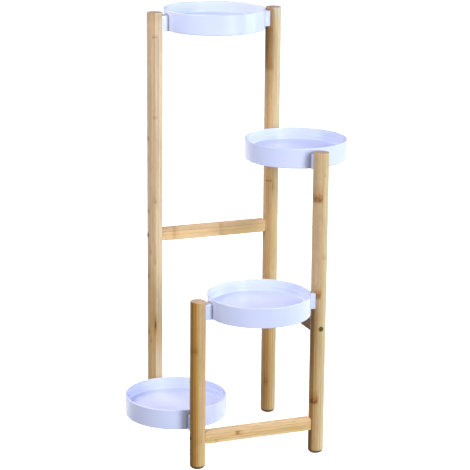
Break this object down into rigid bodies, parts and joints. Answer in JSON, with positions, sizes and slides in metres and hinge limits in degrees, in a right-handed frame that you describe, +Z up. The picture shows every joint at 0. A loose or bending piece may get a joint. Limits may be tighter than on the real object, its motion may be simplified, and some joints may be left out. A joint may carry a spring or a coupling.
{
  "type": "plant stand",
  "caption": "Spiral plant stand: round bamboo legs of stepped heights on a square, bolted rails, and round moulded trays hung between neighbouring legs.",
  "frame": {"origin": "on the floor, at the middle of the square on whose corners the four legs stand", "axes": "+Z up, +X to the right and +Y to the back, so that the top tray is at the back between the two tall legs and the shortest leg is front left"},
  "size_m": [0.469, 0.469, 0.891],
  "materials": {
    "bamboo": "laminated bamboo, clear satin lacquer",
    "tray_plastic": "glossy cool white moulding",
    "bolt_steel": "zinc plated",
    "insert_brass": "plain"
  },
  "bodies": {
    "root": {"leg_back_left": "bamboo", "leg_back_right": "bamboo", "leg_front_right": "bamboo", "leg_front_left": "bamboo", "rail_back": "bamboo", "rail_right": "bamboo", "rail_front": "bamboo", "tray_back": "tray_plastic", "tray_right": "tray_plastic", "tray_front": "tray_plastic", "tray_left": "tray_plastic", "rail_bolt_back_1": "bolt_steel", "rail_bolt_back_2": "bolt_steel", "rail_bolt_right_1": "bolt_steel", "rail_bolt_right_2": "bolt_steel", "rail_bolt_front_1": "bolt_steel", "rail_bolt_front_2": "bolt_steel", "rail_insert_back_1": "insert_brass", "rail_insert_back_2": "insert_brass", "rail_insert_right_1": "insert_brass", "rail_insert_right_2": "insert_brass", "rail_insert_front_1": "insert_brass", "rail_insert_front_2": "insert_brass", "tray_bolt_back_1": "bolt_steel", "tray_bolt_back_2": "bolt_steel", "tray_bolt_right_1": "bolt_steel", "tray_bolt_right_2": "bolt_steel", "tray_bolt_front_1": "bolt_steel", "tray_bolt_front_2": "bolt_steel", "tray_bolt_left_1": "bolt_steel", "tray_bolt_left_2": "bolt_steel", "tray_insert_back_1": "insert_brass", "tray_insert_back_2": "insert_brass", "tray_insert_right_1": "insert_brass", "tray_insert_right_2": "insert_brass", "tray_insert_front_1": "insert_brass", "tray_insert_front_2": "insert_brass", "tray_insert_left_1": "insert_brass", "tray_insert_left_2": "insert_brass"}
  },
  "joints": []
}
